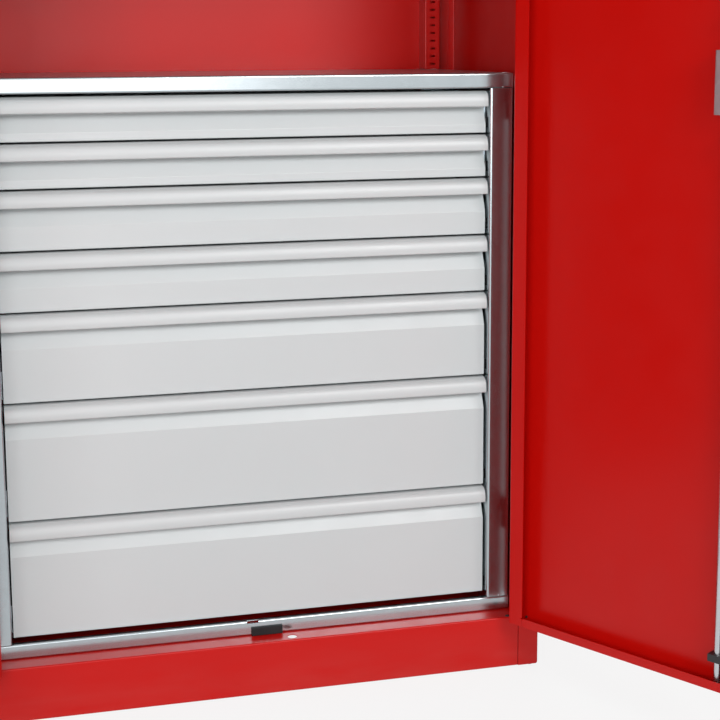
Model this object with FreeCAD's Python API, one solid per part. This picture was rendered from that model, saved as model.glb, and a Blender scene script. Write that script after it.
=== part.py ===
import FreeCAD, Part
import math
import os

# Swing-door cabinet with a galvanised block of seven drawers, each with a rolled, full-width handle front.
# Millimetres, +Z up, -Y to the front. The origin lies on the floor, under the middle of the carcass.
# Both doors stand fully open at rest; every drawer is shut.

# Carcass
width = 1000.0
depth = 500.0
height = 1950.0
sheet = 1.2
bend = 1.4
foot_gap = 3.0
plinth_height = 92.6
post_width = 38.0
post_depth = 34.0
post_lip = 14.0
rear_flange = 13.0
header_height = 42.0
bottom_flange = 30.0
corner_round = 5.0

# Levelling feet and fixing holes
foot_stud = 8.0
foot_stud_length = 26.0
foot_head = 12.0
foot_inset = 10.0
foot_clearance = 0.3
anchor_hole = 9.0
anchor_inset = 70.0
wall_hole = 9.0
wall_hole_spacing = 700.0
wall_hole_drop = 90.0

# Doors
front_recess = 37.5
door_thickness = 30.0
door_gap = 2.0
centre_gap = 3.0
hinge_lip = 29.0
lock_lip = 20.0
end_lip = 15.0
lip_gap = 1.0
mitre_slot = 2.4
mitre_slot_length = 6.0
open_angle = 121.5
overlap_strip_width = 34.0
overlap_strip_reach = 14.0

# Hinges
pin_radius = 3.0
pin_clearance = 0.05
knuckle_radius = 5.0
knuckle_length = 28.0
knuckle_play = 0.5
hinge_stand_off = 7.0
hinge_side_offset = 3.0
leaf_thickness = 2.4
leaf_width = 26.0
hinge_margin = 165.0

# Door lock
rod_offset = 54.0
rod_radius = 6.0
rod_hole_radius = 8.15
rod_flange_clearance = 0.5
rod_tip_inset = 1.0
rod_end_gap = 9.0
lock_height = 1045.0
lock_case_width = 60.0
lock_case_length = 96.0
lock_case_cover_gap = 1.5
cam_radius = 17.0
cam_thickness = 3.0
cam_gap = 0.6
spindle_radius = 5.0
running_clearance = 0.05
plate_width = 38.0
plate_length = 150.0
plate_thickness = 3.0
plate_offset = 30.0
hub_radius = 15.0
hub_length = 16.0
hub_gap = 0.4
lever_length = 118.0
lever_width = 17.0
lever_thickness = 9.0
cylinder_radius = 9.0
cylinder_stand_out = 4.0
cylinder_drop = 52.0
key_slot_width = 1.6
key_slot_length = 8.0
guide_width = 26.0
guide_height = 12.0
guide_wall = 4.0
guide_margin = 44.0

# Door buffer
buffer_width = 54.0
buffer_height = 14.0
buffer_stand_out = 5.0
buffer_centre = 14.0

# Drawer block
block_width = 912.0
block_depth = 455.0
block_sheet = 1.5
block_bend = 2.6
block_flange = 41.0
flange_edge_bend = 0.6
block_return = 45.0
rail_height = 25.5
rail_fold = 11.0
gap_under_top_rail = 2.6
gap_over_bottom_rail = 5.5
notch_width = 20.0
notch_depth = 4.0
notch_centre = -10.5
joint_gap = 0.4

# Drawers, from the top one down
drawer_heights = [75.0, 75.0, 100.0, 100.0, 150.0, 200.0, 200.0]
drawer_gap = 4.5
drawer_sheet = 1.0
front_sheet = 1.2
front_side_gap = 3.0
front_bend = 0.9
grip_height = 26.5
grip_tuck = 1.5
grip_round = 9.0
grip_slope_top = 5.0
grip_slope_depth = 4.2
grip_slope_end = 17.0
grip_top_land = 15.0
grip_belly_radius = 24.0
hem_height = 8.0
recess_depth = 27.0
recess_height = 29.5
crease_height = 57.8
face_depth = 15.0
box_floor_rise = 4.0
box_headroom = 11.0
box_length = 400.0
box_rim = 9.0

# Telescopic runners
runner_height = 46.0
runner_sheet = 1.5
runner_depth = 18.0
runner_flange = 7.5
runner_play = 0.5
runner_length = 398.0
runner_rise = 2.0
middle_web = 1.6
middle_side_gap = 1.5
front_to_runner = 1.8

# Shelves
upright_width = 30.6
upright_depth = 40.0
upright_inset = 43.0
front_upright_depth = 24.0
front_upright_inset = 3.5
upright_sheet = 1.5
slot_width = 9.8
slot_height = 3.2
slot_pitch = 15.0
slot_margin = 10.0
shelf_sheet = 1.0
shelf_edge = 28.0
shelf_side_gap = 4.0
shelf_end_gap = 1.5
shelf_shares = [0.41, 0.745]
clip_length = 22.0
clip_thickness = 2.4
clip_tongue_clearance = 0.2
shelf_seat_gap = 0.2
upright_head_gap = 60.0

# Shorter straight stretches between two bends are left out
shortest_edge = 0.001

front = -depth / 2
rear = depth / 2
half_width = width / 2
opening_half = half_width - post_width
ledge = foot_gap + plinth_height
drawer_plane = front + front_recess
block_half = block_width / 2
opening_block_half = block_half - block_flange
block_bottom = ledge
stack_bottom = block_bottom + rail_height + gap_over_bottom_rail
stack_top = stack_bottom + sum(drawer_heights)
block_top = stack_top + gap_under_top_rail + rail_height
block_rear = drawer_plane + block_depth
front_half = opening_block_half - front_side_gap
door_bottom = ledge + door_gap
door_top = height - header_height - door_gap
door_edge = opening_half - door_gap
door_back = front + door_thickness
hinge_x = door_edge + hinge_side_offset
hinge_y = front - hinge_stand_off
rod_y = front + door_thickness / 2
skin_inside = front + sheet


def vector(x, y, z):
    return FreeCAD.Vector(x, y, z)


# Basic solids
def slab(x, y, z):
    return Part.makeBox(x[1] - x[0], y[1] - y[0], z[1] - z[0], vector(x[0], y[0], z[0]))


def post(radius, base, length, direction):
    return Part.makeCylinder(radius, length, vector(*base), vector(*direction))


def mirrored(shape):
    return shape.mirror(vector(0, 0, 0), vector(1, 0, 0))


def both_sides(shape):
    return [shape, mirrored(shape)]


def fused(shapes):
    return shapes[0].fuse(shapes[1:]).removeSplitter()


def turned_open(shape):
    return shape.rotate(vector(hinge_x, hinge_y, 0), vector(0, 0, 1), open_angle)


# Ways to lay a flat outline in space
def in_plan(u, v, w):
    return vector(u, v, w)


def in_section(u, v, w):
    return vector(w, u, v)


def in_elevation(u, v, w):
    return vector(u, w, v)


def direction_of(a, b):
    length = math.hypot(b[0] - a[0], b[1] - a[1])
    return (b[0] - a[0]) / length, (b[1] - a[1]) / length


def shifted(point, along, distance):
    return point[0] + along[0] * distance, point[1] + along[1] * distance


# One rounded corner of a folded sheet: the two tangent points and the middle of the arc, on both faces
def rounded_corner(before, corner, after, thickness, inner_radius, side):
    arriving = direction_of(before, corner)
    leaving = direction_of(corner, after)
    turn = arriving[0] * leaving[1] - arriving[1] * leaving[0]
    angle = math.atan2(turn, arriving[0] * leaving[0] + arriving[1] * leaving[1])
    towards_sheet = turn * side > 0
    near_radius = inner_radius + thickness if towards_sheet else inner_radius
    far_radius = inner_radius if towards_sheet else inner_radius + thickness
    tangent = near_radius * math.tan(abs(angle) / 2)
    start = shifted(corner, arriving, -tangent)
    end = shifted(corner, leaving, tangent)
    inward = math.copysign(1.0, turn)
    centre = shifted(start, (-arriving[1] * inward, arriving[0] * inward), near_radius)
    outward = direction_of(centre, corner)
    normal_in = (-arriving[1] * side, arriving[0] * side)
    normal_out = (-leaving[1] * side, leaving[0] * side)
    near = (start, shifted(centre, outward, near_radius), end)
    far = (
        shifted(start, normal_in, thickness),
        shifted(centre, outward, far_radius),
        shifted(end, normal_out, thickness),
    )
    return near, far


# A sheet of even thickness, folded along a line of points and drawn out to a length.
# The sheet lies to the left of the line where side is 1, to the right where it is -1.
def folded(points, thickness, radii, side, lay, start, length):
    if not isinstance(radii, (list, tuple)):
        radii = [radii] * (len(points) - 2)
    near = [(points[0],)]
    first = direction_of(points[0], points[1])
    far = [(shifted(points[0], (-first[1] * side, first[0] * side), thickness),)]
    for index, radius in enumerate(radii):
        near_arc, far_arc = rounded_corner(*points[index : index + 3], thickness, radius, side)
        near.append(near_arc)
        far.append(far_arc)
    last = direction_of(points[-2], points[-1])
    near.append((points[-1],))
    far.append((shifted(points[-1], (-last[1] * side, last[0] * side), thickness),))
    loop = near + [tuple(reversed(arc)) for arc in reversed(far)]
    edges = []
    for index, stop in enumerate(loop):
        here = [lay(u, v, start) for u, v in stop]
        if len(here) == 3:
            edges.append(Part.Arc(*here).toShape())
        after = lay(*loop[(index + 1) % len(loop)][0], start)
        if here[-1].distanceToPoint(after) > shortest_edge:
            edges.append(Part.makeLine(here[-1], after))
    face = Part.Face(Part.Wire(edges))
    return face.extrude(lay(0, 0, length) - lay(0, 0, 0))


# A flat outline of corners, drawn out to a length
def drawn_out(points, lay, start, length):
    corners = [lay(u, v, start) for u, v in points]
    face = Part.Face(Part.makePolygon(corners + corners[:1]))
    return face.extrude(lay(0, 0, length) - lay(0, 0, 0))


# A slot with round ends through a wall that is square to Y
def round_slot(x, z, slot_length, slot_width_now, y, through):
    radius = slot_width_now / 2
    reach = slot_length / 2 - radius
    body = slab((x - reach, x + reach), (y, y + through), (z - radius, z + radius))
    ends = [post(radius, (x + s * reach, y, z), through, (0, 1, 0)) for s in (-1, 1)]
    return body.fuse(ends)


# The edges that lie in one plane square to Y
def flat_rim(shape, y):
    boxes = [(edge, edge.BoundBox) for edge in shape.Edges]
    return [edge for edge, box in boxes if box.YMax - y < shortest_edge and y - box.YMin < shortest_edge]


# Carcass sheets
def side_panel():
    outline = [
        (half_width - rear_flange, rear - sheet),
        (half_width, rear - sheet),
        (half_width, front),
        (opening_half, front),
        (opening_half, front + post_depth),
        (opening_half + post_lip, front + post_depth),
    ]
    wall = folded(outline, sheet, bend, -1, in_plan, foot_gap, height - sheet - foot_gap)
    corner = slab(
        (half_width - corner_round, half_width + sheet),
        (front - sheet, front + corner_round),
        (foot_gap - sheet, foot_gap + corner_round),
    )
    rounding = post(
        corner_round,
        (half_width - corner_round, front - 2 * sheet, foot_gap + corner_round),
        corner_round + 3 * sheet,
        (0, 1, 0),
    )
    return wall.cut(corner.cut(rounding))


def anchor_places():
    x = half_width - anchor_inset
    y = rear - sheet - bottom_flange / 2
    return [(i * x, j * y) for i in (-1, 1) for j in (-1, 1)]


def floor_panel():
    outline = [
        (rear - 2 * sheet, ledge),
        (front, ledge),
        (front, foot_gap),
        (front + sheet + bottom_flange, foot_gap),
    ]
    middle = folded(outline, sheet, bend, 1, in_section, -opening_half, 2 * opening_half)
    wings = slab(
        (-half_width + sheet, half_width - sheet),
        (front + post_depth, rear - 2 * sheet - bend),
        (ledge - sheet, ledge),
    )
    panel = fused([middle, wings])
    panel = panel.cut(post(rod_hole_radius, (rod_offset, rod_y, ledge - 2 * sheet), 4 * sheet, (0, 0, 1)))
    for x, y in anchor_places():
        panel = panel.cut(post(anchor_hole / 2, (x, y, foot_gap - sheet), 3 * sheet, (0, 0, 1)))
    return panel


def plinth_rear():
    back = rear - 2 * sheet
    outline = [
        (back - bottom_flange, ledge - sheet),
        (back, ledge - sheet),
        (back, foot_gap),
        (back - bottom_flange, foot_gap),
    ]
    reach = half_width - 3 * sheet
    plinth = folded(outline, sheet, bend, -1, in_section, -reach, 2 * reach)
    for x, y in anchor_places():
        plinth = plinth.cut(post(anchor_hole / 2, (x, y, foot_gap - sheet), 3 * sheet, (0, 0, 1)))
    for x, y in foot_places():
        passage = foot_stud / 2 + foot_clearance
        plinth = plinth.cut(post(passage, (x, y, foot_gap - sheet), 3 * sheet, (0, 0, 1)))
    return plinth


# The front feet stand against the posts, the rear ones on the rear plinth's flange
def foot_places():
    x = half_width - 2 * sheet - foot_inset
    near = front + sheet + foot_inset
    far = rear - 3 * sheet - bend - foot_inset
    return [(side * x, y) for side in (-1, 1) for y in (near, far)]


def corner_bracket(x, y):
    base = foot_gap + sheet
    bracket = slab(
        (x - foot_inset, x + foot_inset),
        (y - foot_inset, y + foot_inset),
        (base, base + 2 * sheet),
    )
    upright = [edge for edge in bracket.Edges if edge.BoundBox.ZLength > sheet]
    return bracket.makeChamfer(bend, upright)


# Each foot is a screw in its own corner bracket
def levelling_feet():
    feet = []
    for x, y in foot_places():
        head = Part.makeCone(foot_head / 2, foot_stud / 2, foot_gap, vector(x, y, 0))
        stud = post(foot_stud / 2, (x, y, foot_gap), foot_stud_length, (0, 0, 1))
        nut = post(foot_stud, (x, y, foot_gap + 3 * sheet), foot_stud, (0, 0, 1))
        bore = post(foot_stud / 2, (x, y, 0), foot_stud_length, (0, 0, 1))
        feet += [fused([head, stud, nut]), corner_bracket(x, y).cut(bore)]
    return Part.makeCompound(feet)


def back_panel():
    panel = slab(
        (-half_width + sheet, half_width - sheet),
        (rear - sheet, rear),
        (foot_gap, height - sheet),
    )
    for side in (-1, 1):
        x = side * wall_hole_spacing / 2
        hole = post(wall_hole / 2, (x, rear - 2 * sheet, height - wall_hole_drop), 4 * sheet, (0, 1, 0))
        panel = panel.cut(hole)
    return panel


def top_panel():
    roof = slab((-half_width, half_width), (front, rear), (height - sheet, height))
    round_front = (front, front + sheet + bend)
    roof = roof.cut(slab((-opening_half, opening_half), round_front, (height - sheet, height)))
    inner = half_width - rear_flange - lip_gap
    lip = slab((-inner, inner), (rear - 2 * sheet, rear - sheet), (height - 3 * rear_flange, height))
    outline = [
        (front + post_depth, height - header_height),
        (front, height - header_height),
        (front, height),
        (front + post_depth, height),
    ]
    header = folded(outline, sheet, bend, -1, in_section, -opening_half, 2 * opening_half)
    base = (rod_offset, rod_y, height - header_height - sheet)
    return fused([roof, lip, header]).cut(post(rod_hole_radius, base, 3 * sheet, (0, 0, 1)))


# Doors, made shut and then turned open about their hinge line
def door_pan(with_lock):
    lock_edge = centre_gap / 2
    outline = [
        (door_edge - hinge_lip, door_back),
        (door_edge, door_back),
        (door_edge, front),
        (lock_edge, front),
        (lock_edge, door_back),
        (lock_edge + lock_lip, door_back),
    ]
    rise = door_top - door_bottom
    pan = folded(outline, sheet, bend, -1, in_plan, door_bottom, rise)
    inner = (lock_edge + sheet / 2, door_edge - sheet / 2)
    lips = (lock_edge + lock_lip + lip_gap, door_edge - hinge_lip - lip_gap)
    across = (front + sheet / 2, door_back - lip_gap)
    parts = [pan]
    for low, inward in ((door_bottom, 1), (door_top, -1)):
        web = sorted((low, low + inward * sheet))
        lip = sorted((low, low + inward * end_lip))
        parts.append(slab(inner, across, web))
        parts.append(slab(lips, (door_back - 2 * lip_gap, door_back - lip_gap), web))
        parts.append(slab(lips, (door_back - sheet, door_back), lip))
    door = fused(parts)
    for edge in (door_edge - hinge_lip, lock_edge + lock_lip):
        for z in (door_bottom + end_lip, door_top - end_lip):
            slot = round_slot(edge, z, mitre_slot_length, mitre_slot, door_back - 2 * sheet, 4 * sheet)
            door = door.cut(slot)
    if not with_lock:
        return door
    passage = rod_radius + rod_flange_clearance
    for z in (door_bottom - sheet, door_top - 2 * sheet):
        door = door.cut(post(passage, (rod_offset, rod_y, z), 3 * sheet, (0, 0, 1)))
    bore = spindle_radius + running_clearance
    door = door.cut(post(bore, (rod_offset, front - sheet, lock_height), 3 * sheet, (0, 1, 0)))
    seat = (rod_offset, front - sheet, lock_height - cylinder_drop)
    return door.cut(post(cylinder_radius + running_clearance, seat, 3 * sheet, (0, 1, 0)))


def overlap_strip():
    reach = (-overlap_strip_reach, overlap_strip_width - overlap_strip_reach)
    return slab(reach, (door_back, door_back + sheet), (door_bottom + end_lip, door_top - end_lip))


def hinge_heights():
    return [door_bottom + hinge_margin, (door_bottom + door_top) / 2, door_top - hinge_margin]


# A leaf plate flat on the front, with its knuckle round the hinge line
def knuckle(z, towards):
    barrel = post(knuckle_radius, (hinge_x, hinge_y, z), knuckle_length, (0, 0, 1))
    far = hinge_x + towards * (knuckle_radius + leaf_width)
    plate = slab(sorted((hinge_x, far)), (front - leaf_thickness, front), (z, z + knuckle_length))
    web = slab(
        sorted((hinge_x + towards * (knuckle_radius - leaf_thickness), hinge_x + towards * knuckle_radius)),
        (hinge_y, front),
        (z, z + knuckle_length),
    )
    clear = slab(
        sorted((hinge_x - towards * knuckle_radius, hinge_x + towards * (knuckle_radius - leaf_thickness))),
        (front - leaf_thickness - sheet, front + sheet),
        (z, z + knuckle_length),
    )
    return barrel.fuse([plate.cut(clear), web])


def hinge_posts():
    made = []
    for z in hinge_heights():
        low = z - knuckle_length - knuckle_play
        body = knuckle(low, 1)
        pin = post(pin_radius, (hinge_x, hinge_y, low), 2 * knuckle_length, (0, 0, 1))
        made += both_sides(fused([body, pin]))
    return Part.makeCompound(made)


def hinge_sleeves():
    made = []
    for z in hinge_heights():
        bore = post(pin_radius + pin_clearance, (hinge_x, hinge_y, z), knuckle_length, (0, 0, 1))
        made.append(knuckle(z, -1).removeSplitter().cut(bore))
    return Part.makeCompound(made)


# Rod lock on the right door
def lock_case():
    half = lock_case_width / 2
    cover = door_back - lock_case_cover_gap
    outline = [
        (rod_offset - half, skin_inside),
        (rod_offset - half, cover),
        (rod_offset + half, cover),
        (rod_offset + half, skin_inside),
    ]
    case = folded(outline, sheet, bend, -1, in_plan, lock_height - lock_case_length / 2, lock_case_length)
    bore = post(
        spindle_radius + running_clearance,
        (rod_offset, cover - 2 * sheet, lock_height),
        3 * sheet,
        (0, 1, 0),
    )
    return case.cut(bore)


def spindle_and_cam():
    cam_y = rod_y + rod_radius + cam_gap
    stand = front - plate_thickness - hub_gap
    far = door_back - lock_case_cover_gap
    shaft = post(spindle_radius, (rod_offset, stand, lock_height), far - stand, (0, 1, 0))
    disc = post(cam_radius, (rod_offset, cam_y, lock_height), cam_thickness, (0, 1, 0))
    return fused([shaft, disc])


def handle_lever():
    stand = front - plate_thickness - hub_gap
    hub = post(hub_radius, (rod_offset, stand, lock_height), hub_length, (0, -1, 0))
    outer = stand - hub_length
    arm = slab(
        (rod_offset, rod_offset + lever_length),
        (outer, outer + lever_thickness),
        (lock_height - lever_width / 2, lock_height + lever_width / 2),
    )
    tip = post(lever_width / 2, (rod_offset + lever_length, outer, lock_height), lever_thickness, (0, 1, 0))
    lever = fused([hub, arm, tip])
    return lever.makeFillet(lever_thickness / 4, flat_rim(lever, outer))


def handle_plate():
    radius = plate_width / 2
    low = lock_height - plate_offset - plate_length / 2 + radius
    high = lock_height - plate_offset + plate_length / 2 - radius
    back = front - plate_thickness
    plate = slab((rod_offset - radius, rod_offset + radius), (back, front), (low, high))
    ends = [post(radius, (rod_offset, back, z), plate_thickness, (0, 1, 0)) for z in (low, high)]
    plate = fused([plate] + ends)
    plate = plate.makeFillet(plate_thickness / 2, flat_rim(plate, back))
    bore = spindle_radius + running_clearance
    plate = plate.cut(post(bore, (rod_offset, back - sheet, lock_height), 3 * plate_thickness, (0, 1, 0)))
    seat = (rod_offset, back - sheet, lock_height - cylinder_drop)
    return plate.cut(post(cylinder_radius + running_clearance, seat, 3 * plate_thickness, (0, 1, 0)))


def key_cylinder():
    outer = front - plate_thickness - cylinder_stand_out
    z = lock_height - cylinder_drop
    reach = rod_y - rod_radius - rod_flange_clearance - outer
    body = post(cylinder_radius, (rod_offset, outer, z), reach, (0, 1, 0))
    slot = slab(
        (rod_offset - key_slot_width / 2, rod_offset + key_slot_width / 2),
        (outer, outer + cylinder_stand_out),
        (z - key_slot_length / 2, z + key_slot_length / 2),
    )
    return body.cut(slot)


def lock_rods():
    low_tip = door_bottom + rod_tip_inset
    high_tip = door_top - rod_tip_inset
    lower = post(rod_radius, (rod_offset, rod_y, low_tip), lock_height - rod_end_gap - low_tip, (0, 0, 1))
    start = lock_height + rod_end_gap
    upper = post(rod_radius, (rod_offset, rod_y, start), high_tip - start, (0, 0, 1))
    low_rim = [edge for edge in lower.Edges if edge.BoundBox.ZMax < low_tip + rod_radius]
    high_rim = [edge for edge in upper.Edges if edge.BoundBox.ZMin > high_tip - rod_radius]
    return lower.makeChamfer(rod_radius / 4, low_rim), upper.makeChamfer(rod_radius / 4, high_rim)


def rod_guides():
    heights = [
        door_bottom + guide_margin,
        lock_height - lock_case_length / 2 - guide_margin,
        lock_height + lock_case_length / 2 + guide_margin,
        door_top - guide_margin - guide_height,
    ]
    made = []
    for z in heights:
        body = slab(
            (rod_offset - guide_width / 2, rod_offset + guide_width / 2),
            (skin_inside, rod_y + rod_radius + guide_wall),
            (z, z + guide_height),
        )
        bore = post(rod_radius + running_clearance, (rod_offset, rod_y, z), guide_height, (0, 0, 1))
        made.append(body.cut(bore))
    return Part.makeCompound(made)


def door_buffer():
    body = slab(
        (buffer_centre - buffer_width / 2, buffer_centre + buffer_width / 2),
        (drawer_plane - buffer_stand_out, drawer_plane),
        (ledge, ledge + buffer_height),
    )
    return body.makeFillet(buffer_stand_out / 4, flat_rim(body, drawer_plane - buffer_stand_out))


# Galvanised frame of the drawer block: its front rails run over the ends of the sides
def block_side():
    outline = [
        (opening_block_half, drawer_plane + block_return),
        (opening_block_half, drawer_plane),
        (block_half, drawer_plane),
        (block_half, block_rear),
        (opening_block_half, block_rear),
        (opening_block_half, block_rear - block_return),
    ]
    radii = [block_bend, flange_edge_bend, flange_edge_bend, block_bend]
    side = folded(outline, block_sheet, radii, 1, in_plan, block_bottom, block_top - block_bottom)
    under = rail_height + joint_gap
    for heights in ((block_bottom, block_bottom + under), (block_top - under, block_top)):
        room = slab(
            (opening_block_half - block_sheet, block_half),
            (drawer_plane, drawer_plane + rail_fold + joint_gap),
            heights,
        )
        side = side.cut(room)
    return side


def front_rail(low):
    outline = [
        (drawer_plane + rail_fold, low),
        (drawer_plane, low),
        (drawer_plane, low + rail_height),
        (drawer_plane + rail_fold, low + rail_height),
    ]
    return folded(outline, block_sheet, block_sheet, -1, in_section, -block_half, 2 * block_half)


def top_rail():
    return front_rail(block_top - rail_height)


def bottom_rail():
    top = block_bottom + rail_height
    notch = slab(
        (notch_centre - notch_width / 2, notch_centre + notch_width / 2),
        (drawer_plane - block_sheet, drawer_plane + block_sheet + notch_depth),
        (top - notch_depth, top + block_sheet),
    )
    return front_rail(block_bottom).cut(notch)


def rear_rails():
    made = []
    for low in (block_bottom, block_top - rail_height):
        outline = [
            (block_rear - rail_fold, low),
            (block_rear, low),
            (block_rear, low + rail_height),
            (block_rear - rail_fold, low + rail_height),
        ]
        reach = opening_block_half - joint_gap
        made.append(folded(outline, block_sheet, block_sheet, 1, in_section, -reach, 2 * reach))
    return Part.makeCompound(made)


def block_cover():
    cover = slab(
        (-block_half + block_sheet, block_half - block_sheet),
        (drawer_plane + rail_fold + joint_gap, block_rear - rail_fold - joint_gap),
        (block_top - block_sheet, block_top),
    )
    near = (drawer_plane, drawer_plane + block_return + joint_gap)
    far = (block_rear - block_return - joint_gap, block_rear)
    for y in (near, far):
        corner = slab((opening_block_half - joint_gap, block_half), y, (block_top - block_sheet, block_top))
        cover = cover.cut(both_sides(corner))
    return cover


# Drawers: the height of each one's lower and upper gap lines, from the top drawer down
def drawer_spans():
    spans = []
    top = stack_top
    for size in drawer_heights:
        spans.append((top - size, top))
        top -= size
    return spans


def drawer_front(low, high):
    back = recess_depth + front_sheet
    face_back = face_depth + front_sheet
    hem_depth = grip_tuck + 2 * (front_bend + front_sheet)

    def at(behind, below):
        return drawer_plane + behind, high - drawer_gap / 2 - below

    drop = high - low - drawer_gap
    points = [
        at(hem_depth, grip_height - hem_height),
        at(hem_depth, grip_height),
        at(grip_tuck, grip_height),
        at(0, grip_slope_end),
        at(grip_slope_depth, grip_slope_top),
        at(grip_top_land, 0),
        at(back, 0),
        at(back, recess_height),
        at(face_back, crease_height),
        at(face_back, drop),
        at(back, drop),
    ]
    radii = [front_bend, front_bend, grip_belly_radius, grip_round, grip_round]
    radii += [front_bend, front_bend, front_bend, front_bend]
    front_sheet_solid = folded(points, front_sheet, radii, -1, in_section, -front_half, 2 * front_half)
    cheek = [at(face_depth + front_sheet / 2, drop), at(back, drop), at(back, recess_height)]
    cheek += [at(back - front_sheet / 2, recess_height), at(face_depth + front_sheet / 2, crease_height)]
    cheeks = both_sides(drawn_out(cheek, in_section, front_half - front_sheet, front_sheet))
    return fused([front_sheet_solid] + cheeks)


def box_half():
    return opening_block_half - runner_depth


def drawer_box(low, high):
    half = box_half()
    near = drawer_plane + recess_depth + front_sheet
    base = low + box_floor_rise
    top = high - box_headroom
    wall = drawer_sheet
    outer = slab((-half, half), (near, near + box_length), (base, top))
    hollow = (near + wall, near + box_length - wall)
    inner = slab((-half + wall, half - wall), hollow, (base + wall, top + wall))
    rim = slab((-half, half), (near, near + box_length), (top - wall, top))
    rim = rim.cut(
        slab(
            (-half + box_rim, half - box_rim),
            (near + box_rim, near + box_length - box_rim),
            (top - 2 * wall, top + wall),
        )
    )
    return fused([outer.cut(inner), rim])


def runner_start():
    return drawer_plane + recess_depth + front_sheet + front_to_runner


def runner_base(low):
    return low + box_floor_rise + runner_rise


# A channel whose open side faces the other member
def runner_channel(web_x, towards, base):
    top = base + runner_height
    tip = web_x + towards * runner_flange
    outline = [(tip, base), (web_x, base), (web_x, top), (tip, top)]
    return folded(
        outline, runner_sheet, runner_sheet / 2, -towards, in_elevation, runner_start(), runner_length
    )


def cabinet_runners():
    made = []
    for low, _ in drawer_spans():
        made += both_sides(runner_channel(opening_block_half, -1, runner_base(low)))
    return Part.makeCompound(made)


def drawer_rails(low):
    return Part.makeCompound(both_sides(runner_channel(box_half(), 1, runner_base(low))))


def middle_rails(low):
    base = runner_base(low) + runner_sheet + runner_play
    top = base + runner_height - 2 * (runner_sheet + runner_play)
    inner = box_half() + runner_sheet + middle_side_gap
    outer = opening_block_half - runner_sheet - middle_side_gap
    middle = (inner + outer) / 2
    along = (runner_start(), runner_start() + runner_length)
    bar = fused(
        [
            slab((inner, outer), along, (base, base + runner_sheet)),
            slab((inner, outer), along, (top - runner_sheet, top)),
            slab((middle - middle_web / 2, middle + middle_web / 2), along, (base, top)),
        ]
    )
    return Part.makeCompound(both_sides(bar))


# Shelf supports and shelves
def upright_span():
    return block_top + joint_gap, height - upright_head_gap


def slot_heights():
    low, high = upright_span()
    count = int((high - low - 2 * slot_margin) // slot_pitch)
    return [low + slot_margin + slot_pitch * index for index in range(count + 1)]


# Which slots carry the shelves, as shares of the row
def shelf_slots():
    last = len(slot_heights()) - 1
    return [round(share * last) for share in shelf_shares]


def slotted(channel, x, y):
    slots = [
        slab((x - slot_width / 2, x + slot_width / 2), y, (z - slot_height / 2, z + slot_height / 2))
        for z in slot_heights()
    ]
    return channel.cut(Part.makeCompound(slots))


def rear_upright_x():
    return half_width - upright_inset - upright_width / 2


def front_upright_x():
    return half_width - front_upright_inset - upright_width / 2


def upright_face_rear():
    return rear - 2 * sheet - upright_depth


def upright_face_front():
    return front + post_depth + front_upright_depth


def shelf_uprights():
    low, high = upright_span()
    half = upright_width / 2
    made = []
    x = rear_upright_x()
    face = upright_face_rear()
    back = rear - sheet
    outline = [(x - half, back), (x - half, face), (x + half, face), (x + half, back)]
    channel = folded(outline, upright_sheet, upright_sheet / 2, 1, in_plan, low, high - low)
    made += both_sides(slotted(channel, x, (face - upright_sheet, face + 2 * upright_sheet)))
    x = front_upright_x()
    face = upright_face_front()
    back = front + post_depth
    outline = [(x - half, back), (x - half, face), (x + half, face), (x + half, back)]
    channel = folded(outline, upright_sheet, upright_sheet / 2, -1, in_plan, low, high - low)
    made += both_sides(slotted(channel, x, (face - 2 * upright_sheet, face + upright_sheet)))
    return Part.makeCompound(made)


def clip_top(slot):
    return slot_heights()[slot] + slot_height / 2 - clip_tongue_clearance


# A flat hook: its tongue lies in a slot and its arm carries the shelf's edge
def shelf_clip(x, face, towards, slot):
    top = clip_top(slot)
    half = slot_width / 2 - clip_tongue_clearance
    tongue = sorted((face - towards * 2 * upright_sheet, face + towards * clip_length))
    arm = slab((x - half, x + half), tongue, (top - clip_thickness, top))
    heel_near = face + towards * clip_tongue_clearance
    heel = sorted((heel_near, heel_near + towards * clip_thickness))
    brace = slab((x - half, x + half), heel, (top - slot_pitch / 2, top))
    return fused([arm, brace])


def shelf_clips():
    made = []
    for slot in shelf_slots():
        made += both_sides(shelf_clip(rear_upright_x(), upright_face_rear(), -1, slot))
        made += both_sides(shelf_clip(front_upright_x(), upright_face_front(), 1, slot))
    return Part.makeCompound(made)


def shelf(slot):
    under = clip_top(slot) + shelf_seat_gap
    top = under + shelf_sheet
    reach = half_width - sheet - shelf_side_gap
    near = upright_face_front() + shelf_end_gap + clip_thickness
    far = upright_face_rear() - shelf_end_gap - clip_thickness
    plate = slab((-reach, reach), (near, far), (under, top))
    edge = shelf_sheet
    flanges = [
        slab((-reach, reach), (near, near + edge), (top - shelf_edge, top)),
        slab((-reach, reach), (far - edge, far), (top - shelf_edge, top)),
        slab((-reach, -reach + edge), (near, far), (top - shelf_edge, top)),
        slab((reach - edge, reach), (near, far), (top - shelf_edge, top)),
    ]
    body = fused([plate] + flanges)
    half = slot_width / 2 + clip_tongue_clearance
    for x, y in ((rear_upright_x(), far), (front_upright_x(), near)):
        gap = slab((x - half, x + half), (y - 2 * edge, y + 2 * edge), (top - shelf_edge - edge, under))
        body = body.cut(Part.makeCompound(both_sides(gap)))
    return body


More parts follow.
